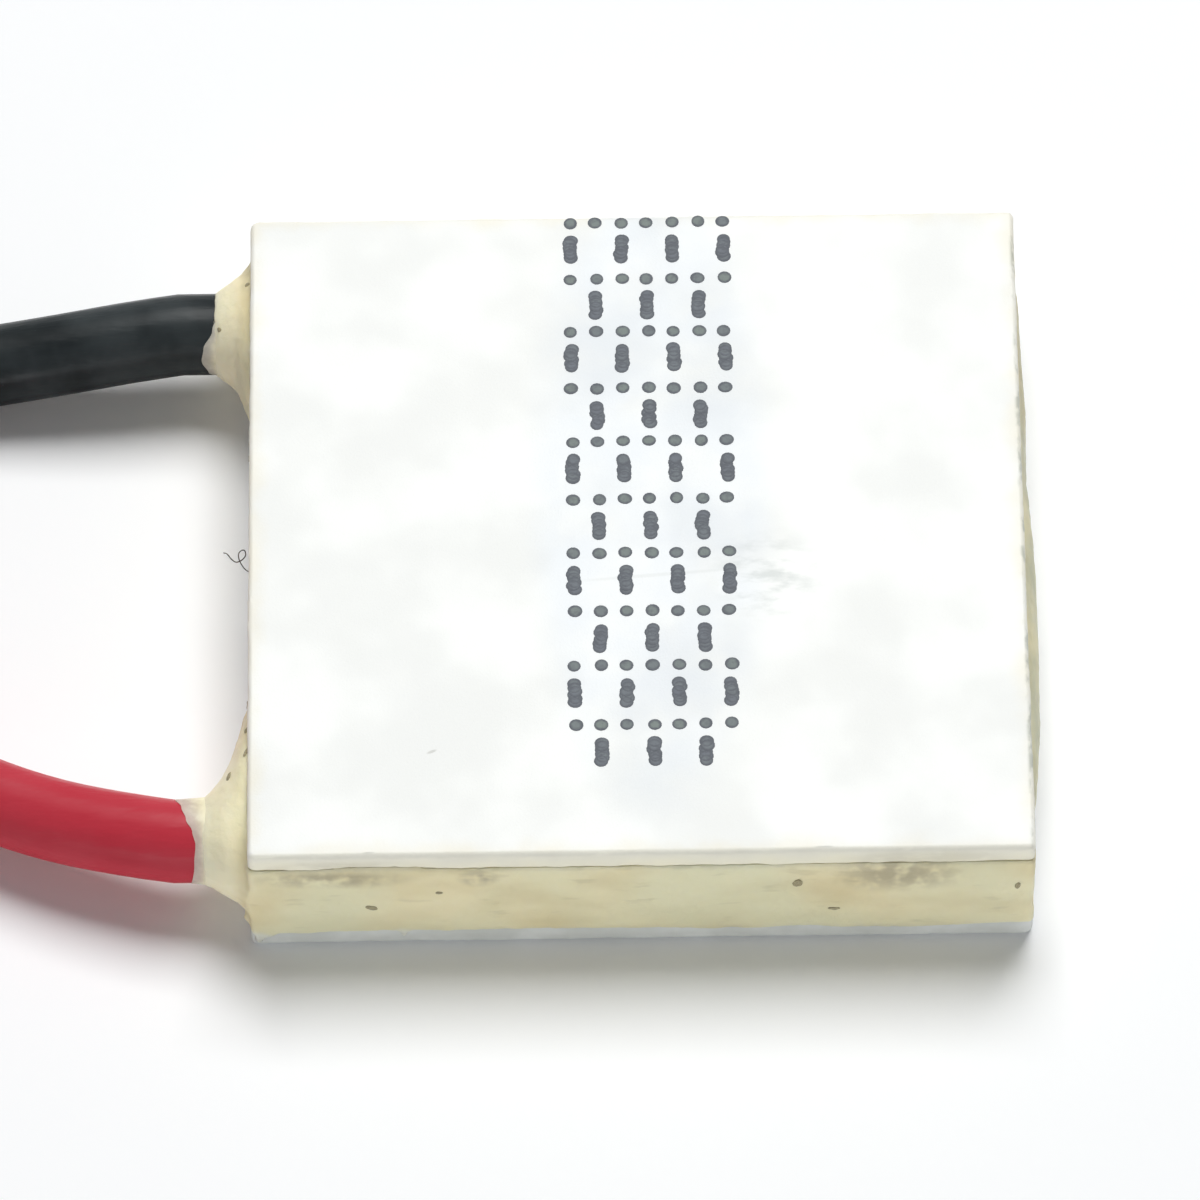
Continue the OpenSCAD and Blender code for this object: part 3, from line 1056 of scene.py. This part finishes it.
def between(table, key):
    """A value read from (key, value) rows that go round a full circle."""
    rows = [*table, (table[0][0] + 360, table[0][1])]
    key = key if key >= rows[0][0] else key + 360
    for (a, low), (b, high) in zip(rows, rows[1:]):
        if a <= key <= b:
            t = (key - a) / (b - a)
            return low + (high - low) * (0.5 - 0.5 * math.cos(math.pi * t))
    return rows[-1][1]


# Films: where they start, thickness there and at the tip, depth of the inner
# wall inside the lead, rings, and how quickly they thin
BLACK_ROOT, RED_ROOT = -7.9, -8.05
FILM_THICK, FILM_TIP, FILM_SUNK, FILM_RINGS, FILM_TAPER = 0.075, 0.01, 0.015, 8, 0.7
# How far each film reaches along its lead, by angle round the lead
BLACK_FILM = (
    (34, -8.06), (75, -8.15), (101, -8.19), (121, -8.26), (147, -8.44),
    (165, -8.48), (192, -8.36), (214, -8.19), (270, -8.24), (330, -8.12),
)
RED_FILM = (
    (20, -8.84), (43, -8.9), (70, -8.77), (92, -8.68), (110, -8.56),
    (128, -8.5), (155, -8.53), (214, -8.61), (270, -8.58), (330, -8.75),
)


class COOLER_OT_films(bpy.types.Operator):
    """Draws thin milky films of sealant out along both leads"""

    bl_idname = "cooler.films"
    bl_label = "Sealant films"

    def execute(self, context):
        material = drawn_film(context.scene.cooler_seal)
        self.film("black_film", BLACK_AXIS, BLACK_ROOT, BLACK_FILM, material)
        self.film("red_film", RED_AXIS, RED_ROOT, RED_FILM, material)
        return {"FINISHED"}

    def film(self, name, axis, root, reach, material):
        """A thin closed sleeve, drawn out to its reach at each angle."""
        inner, outer = LEAD_D / 2 - FILM_SUNK, LEAD_D / 2 + FILM_THICK
        deselect()
        bpy.ops.mesh.primitive_circle_add(
            vertices=96, radius=inner, fill_type="NOTHING",
            location=(root, axis.y, axis.z), rotation=(0, -math.pi / 2, 0),
        )
        made = settle(added(name))
        edit(made, "EDGE")
        bpy.ops.mesh.select_all(action="SELECT")
        radius = inner
        thins = outer - LEAD_D / 2 - FILM_TIP
        rings = [(0, outer)]
        for i in range(FILM_RINGS):
            share = ((i + 1) / FILM_RINGS) ** FILM_TAPER
            rings.append((1 / FILM_RINGS, outer - thins * share))
        rings.append((0, inner))
        for along, wide in rings:
            stretch = wide / radius
            extrude((-along, 0, 0), (1, stretch, stretch), (0, axis.y, axis.z))
            radius = wide
        bpy.ops.mesh.select_all(action="DESELECT")
        bpy.ops.mesh.select_non_manifold(extend=False)
        bpy.ops.mesh.bridge_edge_loops()
        face_outward()
        drawn = made.data.attributes.new("drawn", "FLOAT", "POINT")
        for i, vertex in enumerate(made.data.vertices):
            share = root - vertex.co.x
            drawn.data[i].value = share
            tip = between(reach, angle_round(vertex.co, axis))
            vertex.co.x = root + share * (tip - root)
        finish_piece(made, material, 60)


# --- Print ---

# Band: X of its first column, columns, gap from the plate's rear edge, where
# its rows end, and the steps between rows in turn
FIRST_COLUMN, COLUMNS = -1.22, 7
BAND_GAP, BAND_END, ROW_STEPS = 0.18, -5.4, (1.36, 1.27)
# Dashes: drops in each, distance from the row above, and step between drops
DASH_DROPS, DASH_GAP, DASH_STEP = 6, 0.42, 0.085
# Drops: sides, thickness, insets as shares of the diameter with their rise,
# strays in X, Y and turn, and the levels that keep overlapping ones apart
DROP_SIDES, DROP_THICK, DROP_INSETS = 14, 0.004, ((0.06, 0.003), (0.2, -0.002))
STRAY_X, STRAY_Y, STRAY_TURN = 0.022, 0.015, 0.3
LEVELS, LEVEL_STEP = 6, 0.0006


class COOLER_OT_print(bpy.types.Operator):
    """Prints a plain band of dots and dashes on the cold face"""

    bl_idname = "cooler.print"
    bl_label = "Printed band"

    def execute(self, context):
        settings = context.scene.cooler_print
        draw = random.Random(5)
        dot = self.dot(settings.dot)
        marks = []
        columns = [FIRST_COLUMN + i * settings.pitch for i in range(COLUMNS)]
        y = COLD_HIGH.y - BAND_GAP
        row = 0
        while y > BAND_END:
            for x in columns:
                marks.append((x, y, draw.uniform(0.4, 1)))
            for x in columns[row % 2::2]:
                for k in range(DASH_DROPS):
                    pale = draw.uniform(0, 0.35)
                    marks.append((x, y - DASH_GAP - DASH_STEP * k, pale))
            y -= ROW_STEPS[row % 2]
            row += 1
        copies = []
        for i, (x, y, pale) in enumerate(marks):
            copy = dot.copy()
            copy.data = dot.data.copy()
            tone = copy.data.attributes.new("pale", "FLOAT", "POINT")
            for value in tone.data:
                value.value = pale
            bpy.context.collection.objects.link(copy)
            copy.location = (
                x + draw.uniform(-STRAY_X, STRAY_X),
                y + draw.uniform(-STRAY_Y, STRAY_Y),
                COLD_HIGH.z + LEVEL_STEP * (i % LEVELS),
            )
            copy.rotation_euler = (0, 0, draw.uniform(-STRAY_TURN, STRAY_TURN))
            copy.scale = (draw.uniform(0.95, 1.08), draw.uniform(0.92, 1.04), 1)
            copies.append(copy)
        remove(dot)
        pick(*copies)
        bpy.ops.object.join()
        made = settle(added("printed_dots"))
        finish_piece(made, marking_ink(settings), 40)
        return {"FINISHED"}

    def dot(self, wide):
        """One dried drop: a low disc with a raised rim and a thin middle."""
        deselect()
        bpy.ops.mesh.primitive_circle_add(
            vertices=DROP_SIDES, radius=wide / 2, fill_type="NGON",
            location=(0, 0, -DROP_THICK / 2),
        )
        dot = added("dot")
        edit(dot)
        bpy.ops.mesh.select_all(action="SELECT")
        extrude((0, 0, DROP_THICK))
        for inset, up in DROP_INSETS:
            bpy.ops.mesh.inset(thickness=wide * inset)
            bpy.ops.transform.translate(value=(0, 0, up))
        face_outward()
        wet = dot.data.attributes.new("rim", "FLOAT", "POINT")
        for i, vertex in enumerate(dot.data.vertices):
            wet.data[i].value = vertex.co.xy.length / (wide / 2)
        return dot


# --- Dirt and painted shadows ---

# Dark grit in the sealant, and dark grains as painted shadow: place, half sizes
# and turn, for each grain; then half thickness, and depth and size of the roughness
GRIT_AND_SHADOWS = (
    ((-5.16, -7.5, 1.26), (0.125, 0.075), -20),
    ((-3.86, -7.5, 1.75), (0.075, 0.045), 0), ((2.97, -7.5, 1.92), (0.125, 0.09), 60),
    ((3.68, -7.5, 1.03), (0.125, 0.0525), 0),
    ((7.17, -7.5, 1.74), (0.1125, 0.0525), 80),
    ((-7.56, 6.75, 1.9), (0.0625, 0.0525), 0),
    ((-7.86, -5.33, 2.58), (0.1125, 0.0525), 0), ((-8.12, 5.4, 2.3), (0.05, 0.045), 0),
    # The six grains at X -7.51 are painted shadow: dark dashes where small shadows fall
    # along the plates' left edge
    ((-7.51, 2.3, 2.8), (0.1125, 0.045), 0), ((-7.51, 1.95, 2.8), (0.0875, 0.045), 0),
    ((-7.51, 1.5, 2.8), (0.125, 0.045), 0), ((-7.51, -3.85, 2.8), (0.125, 0.045), 0),
    ((-7.51, -4.4, 2.8), (0.1, 0.045), 0), ((-7.51, -4.9, 2.8), (0.125, 0.045), 0),
)
GRIT_THICK, GRIT_ROUGH, GRIT_CLOUDS = 0.02, 0.03, 0.06
SEARCH = 5  # how far from the seal a grain starts to drop onto it, mm
# A curled textile fibre, stuck in the sealant at one end
FIBRE = (
    (-7.5, -0.02, 1.75), (-7.6, 0.03, 1.8), (-7.7, 0.12, 1.95),
    (-7.72, 0.24, 2.02), (-7.66, 0.3, 2.05), (-7.6, 0.26, 2.1),
    (-7.58, 0.14, 2.12), (-7.64, 0.05, 2.1), (-7.76, 0.06, 2.0),
    (-7.86, 0.2, 1.9), (-7.95, 0.36, 1.85), (-8.02, 0.42, 1.8),
)
FIBRE_R, FIBRE_STEP = 0.011, 0.02


class COOLER_OT_dirt_and_shadows(bpy.types.Operator):
    """Adds the grit in the sealant, dark grains as painted shadow along the plates'
    left edge, and the fibre caught at the plate's edge
    """

    bl_idname = "cooler.dirt"
    bl_label = "Grit and fibre"

    def execute(self, context):
        seal = bpy.data.objects["seal_bead"]
        toward = Vector((0, -math.cos(CAMERA_TILT), math.sin(CAMERA_TILT)))
        grains = []
        for place, (long, wide), turn in GRIT_AND_SHADOWS:
            found, place, normal, _ = seal.ray_cast(
                (Vector(place) + SEARCH * toward) * MM, -toward,
                distance=2 * SEARCH * MM,
            )
            if not found:
                raise RuntimeError(f"no sealant under the grit at {place}")
            deselect()
            bpy.ops.mesh.primitive_ico_sphere_add(
                subdivisions=3, radius=1, location=place / MM,
            )
            grain = added("grain")
            grain.scale = (long, wide, GRIT_THICK)
            grain.rotation_euler = (
                normal.to_track_quat("Z", "Y").to_matrix()
                @ Matrix.Rotation(math.radians(turn), 3, "Z")
            ).to_euler()
            settle(grain)
            ruffle(grain, GRIT_CLOUDS, GRIT_ROUGH)
            grains.append(grain)
        # The grit and the painted-shadow grains are joined into one piece with one dull
        # dark finish
        pick(*grains)
        bpy.ops.object.join()
        finish_piece(
            added("sealant_grit"), grit("grit_dull", "#b0a686"), 30
        )
        line = smooth_route([Vector(place) for place in FIBRE], FIBRE_STEP)
        pick(tube("fibre", line, FIBRE_R, 1))
        bpy.ops.object.convert(target="MESH")
        finish_piece(added("stray_fibre"), grit("fibre_dyed", "#4a423c"), 60)
        return {"FINISHED"}


# --- Circuit ---


class COOLER_OT_circuit(bpy.types.Operator):
    """Gives the legs, tabs, solder and strands inside their finishes"""

    bl_idname = "cooler.circuit"
    bl_label = "Circuit inside"

    def execute(self, context):
        repaint(
            metal("copper_stamped", "#b87349", "#8f5637", 0.3, 0.5),
            "hot_tabs", "cold_tabs", "pad_black", "pad_red",
        )
        repaint(
            metal("solder_reflowed", "#b9bcc0", "#94979b", 0.3, 0.3),
            "solder_hot", "solder_cold", "joint_black", "joint_red",
        )
        repaint(
            metal("copper_tinned", "#c6c8ca", "#a4a6a8", 0.25, 0.3),
            "wire_black", "wire_red",
        )
        legs = sorted(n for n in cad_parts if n.startswith("leg_"))
        repaint(telluride("telluride_n", "#7c7f86", "#a3a6ac"), *legs[0::2])
        repaint(telluride("telluride_p", "#6b6e76", "#92959c"), *legs[1::2])
        return {"FINISHED"}


# --- Panel and registration ---

OPERATORS = (
    COOLER_OT_stage, COOLER_OT_leads, COOLER_OT_plates, COOLER_OT_seal,
    COOLER_OT_films, COOLER_OT_print, COOLER_OT_dirt_and_shadows, COOLER_OT_circuit,
)
SETTINGS = {
    "cooler_plates": PlateSettings,
    "cooler_seal": SealSettings,
    "cooler_print": PrintSettings,
    "cooler_leads": LeadSettings,
    "cooler_stage": StageSettings,
}


class COOLER_PT_panel(bpy.types.Panel):
    """Lists the module's pieces and their settings"""

    bl_idname = "COOLER_PT_panel"
    bl_label = "Cooling Module"
    bl_space_type = "VIEW_3D"
    bl_region_type = "UI"
    bl_category = "Cooling Module"

    def draw(self, context):
        for operator in OPERATORS:
            self.layout.operator(operator.bl_idname)
        for name, group in SETTINGS.items():
            box = self.layout.box()
            for prop in group.__annotations__:
                box.prop(getattr(context.scene, name), prop)


def register():
    for group in SETTINGS.values():
        bpy.utils.register_class(group)
    for name, group in SETTINGS.items():
        setattr(bpy.types.Scene, name, bpy.props.PointerProperty(type=group))
    for one in (*OPERATORS, COOLER_PT_panel):
        bpy.utils.register_class(one)


def unregister():
    for one in reversed((*OPERATORS, COOLER_PT_panel)):
        bpy.utils.unregister_class(one)
    for name, group in SETTINGS.items():
        delattr(bpy.types.Scene, name)
        bpy.utils.unregister_class(group)


def main():
    register()
    for operator in OPERATORS:
        group, name = operator.bl_idname.split(".")
        getattr(getattr(bpy.ops, group), name)()


if __name__ == "__main__":
    main()
